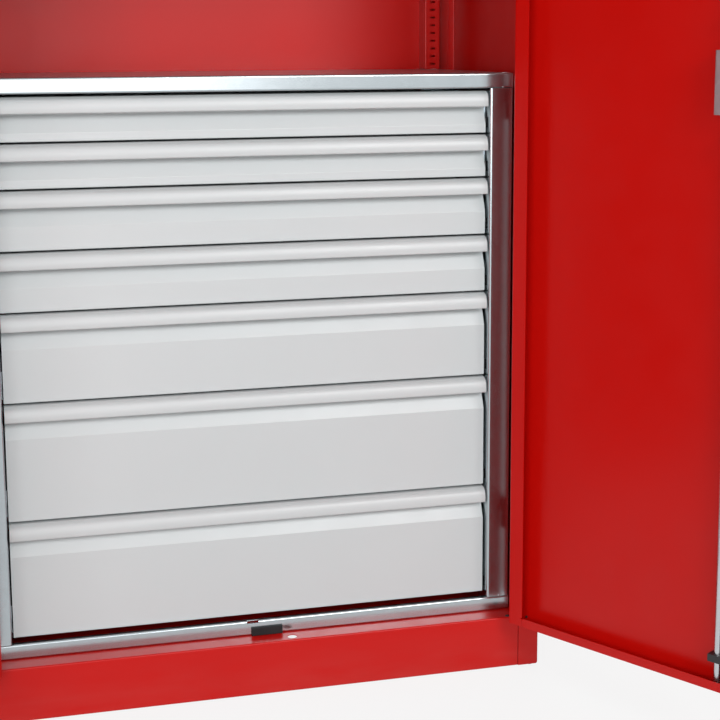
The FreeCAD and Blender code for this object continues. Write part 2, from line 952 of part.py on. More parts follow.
def build():
    lower_rod, upper_rod = lock_rods()
    panel = side_panel()
    side = block_side()
    parts = {
        "side_panel_right": panel,
        "side_panel_left": mirrored(panel),
        "floor_panel": floor_panel(),
        "plinth_rear": plinth_rear(),
        "levelling_feet": levelling_feet(),
        "back_panel": back_panel(),
        "top_panel": top_panel(),
        "hinge_posts": hinge_posts(),
        "door_right": turned_open(door_pan(True)),
        "door_left": mirrored(turned_open(door_pan(False))),
        "hinge_sleeves_right": turned_open(hinge_sleeves()),
        "hinge_sleeves_left": mirrored(turned_open(hinge_sleeves())),
        "overlap_strip": mirrored(turned_open(overlap_strip())),
        "lock_case": turned_open(lock_case()),
        "lock_spindle": turned_open(spindle_and_cam()),
        "handle_lever": turned_open(handle_lever()),
        "handle_plate": turned_open(handle_plate()),
        "key_cylinder": turned_open(key_cylinder()),
        "lock_rod_lower": turned_open(lower_rod),
        "lock_rod_upper": turned_open(upper_rod),
        "rod_guides": turned_open(rod_guides()),
        "door_buffer": door_buffer(),
        "block_side_right": side,
        "block_side_left": mirrored(side),
        "block_top_rail": top_rail(),
        "block_bottom_rail": bottom_rail(),
        "block_rear_rails": rear_rails(),
        "block_cover": block_cover(),
        "cabinet_runners": cabinet_runners(),
        "shelf_uprights": shelf_uprights(),
        "shelf_clips": shelf_clips(),
        "shelves": Part.makeCompound([shelf(slot) for slot in shelf_slots()]),
    }
    for number, (low, high) in enumerate(drawer_spans(), start=1):
        parts[f"drawer_front_{number}"] = drawer_front(low, high)
        parts[f"drawer_box_{number}"] = drawer_box(low, high)
        parts[f"drawer_rails_{number}"] = drawer_rails(low)
        parts[f"middle_rails_{number}"] = middle_rails(low)
    return parts


os.makedirs("parts", exist_ok=True)
for name, shape in build().items():
    if not shape.isValid():
        print("invalid:", name)
    shape.exportStep(os.path.join("parts", name + ".step"))
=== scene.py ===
"""Dresses the two-door tool cabinet: finishes for every sheet-metal piece, small fittings, studio and camera.

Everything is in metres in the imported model's frame: +Z up, -Y to the front, both doors open at rest.
"""

import logging
import math
from dataclasses import dataclass, replace
from enum import Enum
from typing import Callable, Iterable, Sequence

import bmesh
import bpy
from mathutils import Matrix, Vector


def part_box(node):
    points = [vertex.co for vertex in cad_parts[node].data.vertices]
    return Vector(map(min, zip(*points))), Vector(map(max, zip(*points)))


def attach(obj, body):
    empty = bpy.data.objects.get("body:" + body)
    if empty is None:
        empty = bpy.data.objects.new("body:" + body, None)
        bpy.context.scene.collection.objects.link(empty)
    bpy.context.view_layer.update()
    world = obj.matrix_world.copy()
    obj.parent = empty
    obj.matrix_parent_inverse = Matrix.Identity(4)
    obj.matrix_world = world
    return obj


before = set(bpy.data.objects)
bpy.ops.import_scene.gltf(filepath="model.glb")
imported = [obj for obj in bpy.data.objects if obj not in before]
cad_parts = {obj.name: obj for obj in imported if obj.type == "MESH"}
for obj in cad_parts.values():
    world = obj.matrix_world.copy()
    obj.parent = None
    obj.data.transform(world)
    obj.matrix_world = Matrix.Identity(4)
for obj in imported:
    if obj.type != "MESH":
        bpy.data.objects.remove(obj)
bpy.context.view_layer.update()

log = logging.getLogger("tool_cabinet")

Colour = tuple[float, float, float]
Point = tuple[float, float, float]
Values = tuple[tuple[str, float], ...]
FaceTest = Callable[[bmesh.types.BMFace], bool]

# The curve of a screen colour
SCREEN_WHITE = 255
DARK_LIMIT = 0.04045
DARK_SLOPE = 12.92
CURVE_OFFSET = 0.055
CURVE_POWER = 2.4

# What a noise value mostly keeps within
NOISE_LOW = 0.3
NOISE_HIGH = 0.7

# Sizes that the finishes share, with scales in features per metre
BUMP_DEPTH = 0.0001
PEEL_SCALE = 900.0
COAT_GLOSS_CHANGE = 0.03
CRYSTAL_SCALE = 90.0
CRYSTAL_GLOSS_SHARE = 0.4
DUST_COLOUR = (0.42, 0.38, 0.34, 1.0)
DUST_REACH = 0.09

SMOOTH_DEGREES = 35
FACING = 0.9


def from_screen(red: int, green: int, blue: int) -> Colour:
    """Turns a screen colour of 0 to 255 into the linear colour that a shader takes.

    Args:
        red: The red value.
        green: The green value.
        blue: The blue value.

    Returns:
        The linear colour.
    """

    def linear(value: int) -> float:
        """One channel, from screen to linear."""
        level = value / SCREEN_WHITE
        curved = ((level + CURVE_OFFSET) / (1 + CURVE_OFFSET)) ** CURVE_POWER
        return level / DARK_SLOPE if level <= DARK_LIMIT else curved

    return linear(red), linear(green), linear(blue)


class Graph:
    """Adds nodes to one node tree and joins them."""

    mix_first = 6
    mix_second = 7
    mix_result = 2

    def __init__(self, tree: bpy.types.NodeTree) -> None:
        """Keeps the tree and empties it."""
        self.tree = tree
        tree.nodes.clear()

    def add(self, kind: str, **settings: object) -> bpy.types.Node:
        """Adds one node.

        Args:
            kind: The node's type name.
            settings: Properties of the node to set.

        Returns:
            The new node.
        """
        node = self.tree.nodes.new(kind)
        for name, value in settings.items():
            setattr(node, name, value)
        return node

    def join(self, source: object, target: bpy.types.NodeSocket) -> None:
        """Feeds a socket from another socket, or gives it a constant.

        Args:
            source: The other socket, or the constant.
            target: The socket that is fed.
        """
        if isinstance(source, bpy.types.NodeSocket):
            self.tree.links.new(source, target)
        else:
            target.default_value = source

    def maths(self, operation: str, *values: object) -> bpy.types.NodeSocket:
        """Adds a Math node.

        Args:
            operation: The Math node's operation.
            values: Sockets or numbers for its inputs.

        Returns:
            The result's socket.
        """
        node = self.add("ShaderNodeMath", operation=operation)
        for value, socket in zip(values, node.inputs):
            self.join(value, socket)
        return node.outputs[0]

    def around(self, middle: object, change: object) -> tuple[bpy.types.NodeSocket, bpy.types.NodeSocket]:
        """Gives a value less a change, and the value plus the change."""
        return self.maths("SUBTRACT", middle, change), self.maths("ADD", middle, change)

    def noise(self, vector: object, scale: object, detail: float = 2.0) -> bpy.types.NodeSocket:
        """Adds a Noise texture.

        Args:
            vector: The place to read it at.
            scale: Features per metre.
            detail: How many finer layers it has.

        Returns:
            The socket of its value, from 0 to 1.
        """
        node = self.add("ShaderNodeTexNoise")
        self.join(vector, node.inputs["Vector"])
        self.join(scale, node.inputs["Scale"])
        node.inputs["Detail"].default_value = detail
        return node.outputs["Fac"]

    def ranged(
        self, value: object, given: tuple[object, object], wanted: tuple[object, object]
    ) -> bpy.types.NodeSocket:
        """Maps a value from one range onto another, without going past either end.

        Args:
            value: The value to map.
            given: The range that it comes in.
            wanted: The two values that the given range's ends turn into.

        Returns:
            The mapped value's socket.
        """
        node = self.add("ShaderNodeMapRange", clamp=True)
        names = ("Value", "From Min", "From Max", "To Min", "To Max")
        for item, name in zip((value, *given, *wanted), names):
            self.join(item, node.inputs[name])
        return node.outputs[0]

    def spread(self, value: object, low: object, high: object) -> bpy.types.NodeSocket:
        """Maps the usual range of a noise value onto low to high."""
        return self.ranged(value, (NOISE_LOW, NOISE_HIGH), (low, high))

    def shaded(self, colour: object, factor: object) -> bpy.types.NodeSocket:
        """Multiplies a colour by a grey factor.

        Args:
            colour: The colour.
            factor: The factor.

        Returns:
            The product's socket.
        """
        node = self.add("ShaderNodeVectorMath", operation="SCALE")
        self.join(colour, node.inputs[0])
        self.join(factor, node.inputs["Scale"])
        return node.outputs[0]

    def blend(self, mask: object, first: object, second: object) -> bpy.types.NodeSocket:
        """Mixes two colours.

        Args:
            mask: How much there is of the second colour, from 0 to 1.
            first: The first colour.
            second: The second colour.

        Returns:
            The mixed colour's socket.
        """
        node = self.add("ShaderNodeMix", data_type="RGBA")
        self.join(mask, node.inputs["Factor"])
        self.join(first, node.inputs[self.mix_first])
        self.join(second, node.inputs[self.mix_second])
        return node.outputs[self.mix_result]

    def stretched(self, vector: object, scale: Point) -> bpy.types.NodeSocket:
        """Scales a place along each axis, so that a pattern is drawn out.

        Args:
            vector: The place.
            scale: The factor along each axis.

        Returns:
            The scaled place's socket.
        """
        node = self.add("ShaderNodeMapping")
        self.join(vector, node.inputs["Vector"])
        node.inputs["Scale"].default_value = scale
        return node.outputs[0]


class Effect(Enum):
    """The surface effects that the materials share, each a shader node group."""

    POWDER = "powder_coat_skin"
    SPANGLE = "zinc_spangle"
    GRAIN = "moulded_grain"
    DRAWN = "drawn_lines"
    DUST = "floor_dust"


class EffectLibrary:
    """Builds each shared shader node group once."""

    surface = ("Colour", "Roughness", "Height")
    plain_detail = 2.0
    peel_detail = 1.5
    fine_detail = 3.0
    scuff_detail = 5.0
    shade_scale = 3.1
    patch_scale = 17.0
    bloom_scale = 30.0
    haze_scale = 40.0
    rolling_scales = (4.0, 4.0, 900.0)
    drawing_scales = (1.0, 1.0, 0.02)
    scuff_scales = (9.0, 9.0, 40.0)
    crystal_share = 0.7
    rolling_share = 0.3
    grain_gloss = (0.9, 1.1)
    line_gloss = (0.75, 1.3)

    def __init__(self) -> None:
        """Starts with no group built."""
        self.built: dict[Effect, bpy.types.NodeTree] = {}

    def group(self, effect: Effect) -> bpy.types.NodeTree:
        """Gives an effect's group, building it at its first use.

        Args:
            effect: The effect.

        Returns:
            The group's tree.
        """
        if effect not in self.built:
            makers = {
                Effect.POWDER: self.powder,
                Effect.SPANGLE: self.spangle,
                Effect.GRAIN: self.grain,
                Effect.DRAWN: self.drawn,
                Effect.DUST: self.dust,
            }
            self.built[effect] = makers[effect](effect.value)
        return self.built[effect]

    def begin(
        self, name: str, numbers: Sequence[str], colours: Sequence[str], results: Sequence[str]
    ) -> tuple[Graph, dict[str, bpy.types.NodeSocket], bpy.types.Node]:
        """Starts a group with its sockets.

        Args:
            name: The group's name.
            numbers: Names of its number inputs.
            colours: Names of its colour inputs.
            results: Names of its outputs; Colour is a colour and the others are numbers.

        Returns:
            Its graph, its inputs by name, and its output node.
        """
        tree = bpy.data.node_groups.new(name, "ShaderNodeTree")
        sides = tree.interface
        sides.new_socket("Place", in_out="INPUT", socket_type="NodeSocketVector")
        for label in numbers:
            sides.new_socket(label, in_out="INPUT", socket_type="NodeSocketFloat")
        for label in colours:
            sides.new_socket(label, in_out="INPUT", socket_type="NodeSocketColor")
        for label in results:
            kind = "NodeSocketColor" if label == "Colour" else "NodeSocketFloat"
            sides.new_socket(label, in_out="OUTPUT", socket_type=kind)
        graph = Graph(tree)
        entry = graph.add("NodeGroupInput")
        given = {socket.name: socket for socket in entry.outputs if socket.name}
        return graph, given, graph.add("NodeGroupOutput")

    def finish(self, graph: Graph, leave: bpy.types.Node, *sources: object) -> bpy.types.NodeTree:
        """Feeds a group's outputs.

        Args:
            graph: The group's graph.
            leave: Its output node.
            sources: What feeds the outputs, in their order.

        Returns:
            The group's tree.
        """
        for source, socket in zip(sources, leave.inputs):
            graph.join(source, socket)
        return graph.tree

    def powder(self, name: str) -> bpy.types.NodeTree:
        """Sprayed powder coat: a fine orange-peel skin and slow changes of shade and gloss.

        Args:
            name: The group's name.

        Returns:
            The group's tree.
        """
        numbers = ("Peel Scale", "Shade Change", "Gloss", "Gloss Change")
        graph, given, leave = self.begin(name, numbers, ("Colour",), self.surface)
        place = given["Place"]
        peel = graph.noise(place, given["Peel Scale"], self.peel_detail)
        slow = graph.noise(place, self.shade_scale, self.fine_detail)
        patchy = graph.noise(place, self.patch_scale, self.fine_detail)
        shade = graph.spread(slow, *graph.around(1.0, given["Shade Change"]))
        rough = graph.spread(patchy, *graph.around(given["Gloss"], given["Gloss Change"]))
        return self.finish(graph, leave, graph.shaded(given["Colour"], shade), rough, peel)

    def spangle(self, name: str) -> bpy.types.NodeTree:
        """Hot-dip zinc: crystals of slightly different shade and gloss, and faint rolling lines.

        Args:
            name: The group's name.

        Returns:
            The group's tree.
        """
        numbers = ("Crystal Scale", "Contrast", "Gloss", "Gloss Change")
        graph, given, leave = self.begin(name, numbers, ("Colour",), self.surface)
        place = given["Place"]
        crystals = graph.add("ShaderNodeTexVoronoi")
        graph.join(place, crystals.inputs["Vector"])
        graph.join(given["Crystal Scale"], crystals.inputs["Scale"])
        grey = graph.add("ShaderNodeSeparateColor")
        graph.join(crystals.outputs["Color"], grey.inputs[0])
        rolled = graph.noise(graph.stretched(place, self.rolling_scales), 1.0, self.plain_detail)
        crystal_part = graph.maths("MULTIPLY", grey.outputs[0], self.crystal_share)
        rolled_part = graph.maths("MULTIPLY", rolled, self.rolling_share)
        both = graph.maths("ADD", crystal_part, rolled_part)
        shade = graph.spread(both, *graph.around(1.0, given["Contrast"]))
        rough = graph.spread(grey.outputs[1], *graph.around(given["Gloss"], given["Gloss Change"]))
        return self.finish(graph, leave, graph.shaded(given["Colour"], shade), rough, rolled)

    def grain(self, name: str) -> bpy.types.NodeTree:
        """Moulded plastic or rubber: fine spark-eroded grain and a little bloom.

        Args:
            name: The group's name.

        Returns:
            The group's tree.
        """
        numbers = ("Grain Scale", "Bloom", "Gloss")
        graph, given, leave = self.begin(name, numbers, ("Colour",), self.surface)
        place = given["Place"]
        fine = graph.noise(place, given["Grain Scale"], self.fine_detail)
        slow = graph.noise(place, self.bloom_scale, self.plain_detail)
        shade = graph.spread(slow, 1.0, graph.maths("ADD", 1.0, given["Bloom"]))
        rough = graph.maths("MULTIPLY", given["Gloss"], graph.spread(fine, *self.grain_gloss))
        return self.finish(graph, leave, graph.shaded(given["Colour"], shade), rough, fine)

    def drawn(self, name: str) -> bpy.types.NodeTree:
        """Drawn or turned steel: fine lines along the rod, with a thin zinc haze.

        Args:
            name: The group's name.

        Returns:
            The group's tree.
        """
        numbers = ("Line Scale", "Contrast", "Gloss")
        graph, given, leave = self.begin(name, numbers, ("Colour",), self.surface)
        place = given["Place"]
        along = graph.stretched(place, self.drawing_scales)
        lines = graph.noise(along, given["Line Scale"], self.plain_detail)
        haze = graph.noise(place, self.haze_scale, self.fine_detail)
        shade = graph.spread(haze, graph.maths("SUBTRACT", 1.0, given["Contrast"]), 1.0)
        rough = graph.maths("MULTIPLY", given["Gloss"], graph.spread(lines, *self.line_gloss))
        return self.finish(graph, leave, graph.shaded(given["Colour"], shade), rough, lines)

    def dust(self, name: str) -> bpy.types.NodeTree:
        """A trace of floor dust and shoe scuffs, which thins out upwards.

        Args:
            name: The group's name.

        Returns:
            The group's tree.
        """
        graph, given, leave = self.begin(
            name, ("Reach", "Amount"), ("Colour", "Dust Colour"), ("Colour", "Mask")
        )
        place = given["Place"]
        parts = graph.add("ShaderNodeSeparateXYZ")
        graph.join(place, parts.inputs[0])
        height = graph.maths("DIVIDE", parts.outputs[2], given["Reach"])
        near = graph.ranged(height, (0.0, 1.0), (1.0, 0.0))
        scuffs = graph.noise(graph.stretched(place, self.scuff_scales), 1.0, self.scuff_detail)
        patches = graph.spread(scuffs, 0.0, 1.0)
        mask = graph.maths("MULTIPLY", graph.maths("MULTIPLY", near, patches), given["Amount"])
        colour = graph.blend(mask, given["Colour"], given["Dust Colour"])
        return self.finish(graph, leave, colour, mask)


EFFECTS = EffectLibrary()


@dataclass(frozen=True)
class Finish:
    """One surface finish, with the numbers of its shared effect and its shader."""

    name: str
    colour: Colour
    effect: Effect
    effect_values: Values
    metallic: float = 0.0
    specular: float = 0.5
    bump: float = 0.1
    dust: float = 0.0

    def dusted(self, graph: Graph, place: object, colour: object) -> bpy.types.NodeSocket:
        """Lays the trace of dust over a colour.

        Args:
            graph: The material's graph.
            place: The place on the piece.
            colour: The clean colour.

        Returns:
            The dusty colour's socket.
        """
        dust = graph.add("ShaderNodeGroup", node_tree=EFFECTS.group(Effect.DUST))
        graph.join(place, dust.inputs["Place"])
        graph.join(colour, dust.inputs["Colour"])
        dust.inputs["Dust Colour"].default_value = DUST_COLOUR
        dust.inputs["Reach"].default_value = DUST_REACH
        dust.inputs["Amount"].default_value = self.dust
        return dust.outputs["Colour"]

    def material(self) -> bpy.types.Material:
        """Gives the finish's material, building it at its first use.

        Returns:
            The material.
        """
        known = bpy.data.materials.get(self.name)
        if known is not None and known.get("is_finish"):
            return known
        made = bpy.data.materials.new(self.name)
        made["is_finish"] = True
        made.use_nodes = True
        graph = Graph(made.node_tree)
        place = graph.add("ShaderNodeTexCoord").outputs["Object"]
        effect = graph.add("ShaderNodeGroup", node_tree=EFFECTS.group(self.effect))
        graph.join(place, effect.inputs["Place"])
        effect.inputs["Colour"].default_value = (*self.colour, 1.0)
        for label, value in self.effect_values:
            effect.inputs[label].default_value = value
        colour = effect.outputs["Colour"]
        if self.dust:
            colour = self.dusted(graph, place, colour)
        bump = graph.add("ShaderNodeBump")
        bump.inputs["Strength"].default_value = self.bump
        bump.inputs["Distance"].default_value = BUMP_DEPTH
        graph.join(effect.outputs["Height"], bump.inputs["Height"])
        shader = graph.add("ShaderNodeBsdfPrincipled")
        graph.join(colour, shader.inputs["Base Color"])
        graph.join(effect.outputs["Roughness"], shader.inputs["Roughness"])
        graph.join(bump.outputs["Normal"], shader.inputs["Normal"])
        shader.inputs["Metallic"].default_value = self.metallic
        shader.inputs["Specular IOR Level"].default_value = self.specular
        leave = graph.add("ShaderNodeOutputMaterial")
        graph.join(shader.outputs[0], leave.inputs["Surface"])
        return made


def powder(gloss: float, shade: float) -> Values:
    """The powder coat group's values for a given gloss and shade change."""
    return (
        ("Peel Scale", PEEL_SCALE),
        ("Shade Change", shade),
        ("Gloss", gloss),
        ("Gloss Change", COAT_GLOSS_CHANGE),
    )


def zinc(gloss: float, contrast: float) -> Values:
    """The zinc group's values for a given gloss and contrast."""
    return (
        ("Crystal Scale", CRYSTAL_SCALE),
        ("Contrast", contrast),
        ("Gloss", gloss),
        ("Gloss Change", CRYSTAL_GLOSS_SHARE * contrast),
    )


def drawn(lines: float, contrast: float, gloss: float) -> Values:
    """The drawn steel group's values for given lines per metre, contrast and gloss."""
    return (("Line Scale", lines), ("Contrast", contrast), ("Gloss", gloss))


def moulded(grain: float, bloom: float, gloss: float) -> Values:
    """The moulded grain group's values for given grains per metre, bloom and gloss."""
    return (("Grain Scale", grain), ("Bloom", bloom), ("Gloss", gloss))


RED_COAT = Finish(
    name="red_powder_coat",
    colour=from_screen(192, 11, 5),
    effect=Effect.POWDER,
    effect_values=powder(gloss=0.31, shade=0.02),
    specular=0.3,
)
RED_PLINTH = replace(RED_COAT, name="red_powder_coat_plinth", dust=0.05)
# Painted shade: a dark red for the thin strips that stand in for the shadow in the seams at plinth and header
RED_SEAM_SHADOW = Finish(
    name="red_seam_shadow",
    colour=from_screen(72, 6, 5),
    effect=Effect.POWDER,
    effect_values=powder(gloss=0.6, shade=0.05),
    specular=0.1,
    bump=0.05,
)
GREY_COAT = Finish(
    name="light_grey_powder_coat",
    colour=from_screen(197, 203, 204),
    effect=Effect.POWDER,
    effect_values=powder(gloss=0.36, shade=0.01),
)
GREY_INSIDE = Finish(
    name="light_grey_powder_coat_inside",
    colour=from_screen(190, 195, 196),
    effect=Effect.POWDER,
    effect_values=powder(gloss=0.5, shade=0.015),
    bump=0.12,
)
ZINC_FRONT = Finish(
    name="galvanised_front",
    colour=from_screen(178, 186, 190),
    effect=Effect.SPANGLE,
    effect_values=zinc(gloss=0.2, contrast=0.012),
    metallic=1.0,
    bump=0.02,
)
ZINC_SHEET = Finish(
    name="galvanised_sheet",
    colour=from_screen(176, 183, 187),
    effect=Effect.SPANGLE,
    effect_values=zinc(gloss=0.3, contrast=0.04),
    metallic=1.0,
    bump=0.05,
)
RUNNER_STEEL = Finish(
    name="runner_steel",
    colour=from_screen(176, 184, 190),
    effect=Effect.DRAWN,
    effect_values=drawn(lines=700.0, contrast=0.12, gloss=0.3),
    metallic=1.0,
)
ZINC_PARTS = Finish(
    name="bright_zinc",
    colour=from_screen(200, 203, 207),
    effect=Effect.DRAWN,
    effect_values=drawn(lines=900.0, contrast=0.1, gloss=0.24),
    metallic=1.0,
)
BLACK_PLASTIC = Finish(
    name="black_plastic",
    colour=from_screen(30, 30, 32),
    effect=Effect.GRAIN,
    effect_values=moulded(grain=1400.0, bloom=0.25, gloss=0.45),
    bump=0.2,
)
BLACK_RUBBER = Finish(
    name="black_rubber",
    colour=from_screen(24, 24, 25),
    effect=Effect.GRAIN,
    effect_values=moulded(grain=800.0, bloom=0.5, gloss=0.7),
    specular=0.3,
    bump=0.25,
)


@dataclass(frozen=True)
class DoorFrame:
    """Where a door's hinge line is, and how far it stands open."""

    hinge_x: float = 0.463
    hinge_y: float = -0.257
    open_degrees: float = 121.5

    def opened(self, side: int) -> Matrix:
        """Gives the turn from a shut door to an open one.

        Args:
            side: 1 for the right door, -1 for the left one.

        Returns:
            The turn about the door's hinge line.
        """
        hinge = Matrix.Translation((side * self.hinge_x, self.hinge_y, 0.0))
        turn = Matrix.Rotation(side * math.radians(self.open_degrees), 4, "Z")
        return hinge @ turn @ hinge.inverted()


DOOR = DoorFrame()


class Workpiece:
    """A new piece, started from a primitive and shaped with Blender's own operators."""

    def __init__(self, name: str) -> None:
        """Takes the active object as the piece.

        Args:
            name: The name that the object and its mesh get.
        """
        self.body = bpy.context.active_object
        self.body.name = name
        self.body.data.name = name

    @staticmethod
    def clear_selection() -> None:
        """Deselects everything."""
        for item in bpy.context.selected_objects:
            item.select_set(False)

    @classmethod
    def block(cls, name: str, size: Point, low: Point) -> "Workpiece":
        """Makes a square blank.

        Args:
            name: The blank's name.
            size: Its length along each axis.
            low: Its lowest corner.

        Returns:
            The blank.
        """
        cls.clear_selection()
        middle = [corner + length / 2 for corner, length in zip(low, size)]
        bpy.ops.mesh.primitive_cube_add(size=1.0, location=middle)
        piece = cls(name)
        piece.body.scale = size
        piece.settle()
        return piece

    @classmethod
    def disc(cls, name: str, radius: float, length: float, sides: int) -> "Workpiece":
        """Makes a short round blank that stands on the origin.

        Args:
            name: The blank's name.
            radius: Its radius.
            length: Its length along Z.
            sides: How many flats its round has.

        Returns:
            The blank.
        """
        cls.clear_selection()
        bpy.ops.mesh.primitive_cylinder_add(
            vertices=sides, radius=radius, depth=length, location=(0.0, 0.0, length / 2)
        )
        piece = cls(name)
        piece.settle()
        return piece

    def activate(self) -> None:
        """Makes the piece the only selected object and the active one."""
        self.clear_selection()
        self.body.select_set(True)
        bpy.context.view_layer.objects.active = self.body

    def settle(self) -> None:
        """Moves the piece's place into its mesh."""
        self.activate()
        bpy.ops.object.transform_apply(location=True, rotation=True, scale=True)

    def pick(self, test: FaceTest) -> None:
        """Goes into edit mode with only some faces selected.

        Args:
            test: Tells which faces are selected.
        """
        self.activate()
        bpy.ops.object.mode_set(mode="EDIT")
        bpy.ops.mesh.select_mode(type="FACE")
        bpy.ops.mesh.select_all(action="DESELECT")
        mesh = bmesh.from_edit_mesh(self.body.data)
        for face in mesh.faces:
            face.select_set(test(face))
        bmesh.update_edit_mesh(self.body.data)

    def bevel(self, test: FaceTest, width: float, steps: int = 2) -> None:
        """Rounds the rim of some faces.

        Args:
            test: Tells which faces are meant.
            width: How far the rounding reaches.
            steps: How many faces the rounding has across.
        """
        self.pick(test)
        bpy.ops.mesh.region_to_loop()
        bpy.ops.mesh.bevel(offset=width, segments=steps, affect="EDGES")
        bpy.ops.object.mode_set(mode="OBJECT")

    def copy_to(self, name: str, move: Matrix) -> "Workpiece":
        """Makes a copy with its own mesh.

        Args:
            name: The copy's name.
            move: The move from the piece's place to the copy's.

        Returns:
            The copy.
        """
        twin = self.body.copy()
        twin.data = self.body.data.copy()
        bpy.context.scene.collection.objects.link(twin)
        twin.data.transform(move)
        bpy.context.view_layer.objects.active = twin
        return Workpiece(name)

    def repeated(self, name: str, moves: Iterable[Matrix]) -> "Workpiece":
        """Joins moved copies of the piece into a new one."""
        return joined(name, [self.copy_to(name, move) for move in moves])

    def discard(self) -> None:
        """Deletes the piece, once its copies are made."""
        bpy.data.objects.remove(self.body)

    def finish(self, finish: Finish, body: str, slot: str) -> None:
        """Gives the piece its finish and smooth shading, and lets it ride on a body.

        Args:
            finish: The finish.
            body: The name of the body that it moves with.
            slot: The name of a material slot; not used.
        """
        self.activate()
        bpy.ops.object.shade_smooth_by_angle(angle=math.radians(SMOOTH_DEGREES))
        self.body.data.materials.clear()
        self.body.data.materials.append(finish.material())
        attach(self.body, body)
        log.info("piece %s rides on %s", self.body.name, body)


def joined(name: str, pieces: Sequence[Workpiece]) -> Workpiece:
    """Joins several shapes into a single piece.

    Args:
        name: The name of the joined piece.
        pieces: The shapes to join.

    Returns:
        The joined piece.
    """
    Workpiece.clear_selection()
    for piece in pieces:
        piece.body.select_set(True)
    bpy.context.view_layer.objects.active = pieces[0].body
    bpy.ops.object.join()
    return Workpiece(name)


def faces_up(face: bmesh.types.BMFace) -> bool:
    """Tells whether a face points up."""
    return face.normal.z > FACING


def faces_front(face: bmesh.types.BMFace) -> bool:
    """Tells whether a face points to the front."""
    return face.normal.y < -FACING


def dress(finish: Finish, *names: str) -> None:
    """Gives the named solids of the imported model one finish.

    Args:
        finish: The finish that they get.
        names: The nodes' names.
    """
    for name in names:
        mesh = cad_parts[name].data
        mesh.materials.clear()
        mesh.materials.append(finish.material())
        log.info("node %s: %s", name, finish.name)


@dataclass
class Carcass:
    """The red sheet-steel case with its plinth, feet, ledge and floor fittings."""

    ledge: float = 0.0956
    plug_x: float = 0.4438
    plug_y: float = -0.2445
    plug_radius: float = 0.0042
    plug_proud: float = 0.0008
    plug_round: float = 0.0003
    plug_sides: int = 32
    front: float = -0.25
    post_edge: float = 0.462
    plinth_low: float = 0.0052
    fold: float = 0.003
    header_low: float = 1.911
    header_high: float = 1.947
    # Width and standoff of the strips that paint the seam shadows
    line_width: float = 0.0008
    line_proud: float = 0.00025

    def coat(self) -> None:
        """Coats the sheets red and gives the fittings their own finishes."""
        dress(RED_PLINTH, "side_panel_right", "side_panel_left", "floor_panel", "plinth_rear")
        dress(RED_COAT, "back_panel", "top_panel", "hinge_posts", "shelf_uprights")
        dress(ZINC_PARTS, "levelling_feet")
        dress(BLACK_RUBBER, "door_buffer")

    def ledge_plugs(self) -> None:
        """Two small dark plugs in the ledge, one beside each post."""
        blank = Workpiece.disc("ledge_plug_blank", self.plug_radius, self.plug_proud, self.plug_sides)
        blank.bevel(faces_up, self.plug_round)
        seats = [Matrix.Translation((side * self.plug_x, self.plug_y, self.ledge)) for side in (-1, 1)]
        plugs = blank.repeated("ledge_plugs", seats)
        blank.discard()
        plugs.finish(BLACK_PLASTIC, "cabinet", "black_plastic")

    def seam_shadow_lines(self) -> None:
        """Painted shadow: thin dark strips where plinth and header meet the posts, standing in for the shade
        in the seams.
        """
        lines = []
        for low, high in ((self.plinth_low, self.ledge - self.fold), (self.header_low, self.header_high)):
            for side in (-1, 1):
                size = (self.line_width, self.line_proud, high - low)
                corner = (side * self.post_edge - self.line_width / 2, self.front - self.line_proud, low)
                line = Workpiece.block("seam_shadow_line", size, corner)
                line.bevel(faces_front, self.line_proud / 3, steps=1)
                lines.append(line)
        joined("seam_shadow_lines", lines).finish(RED_SEAM_SHADOW, "cabinet", "red_coat")

    def build(self) -> None:
        """Dresses the solids, adds the fittings and lays the painted seam shadows."""
        self.coat()
        self.ledge_plugs()
        self.seam_shadow_lines()


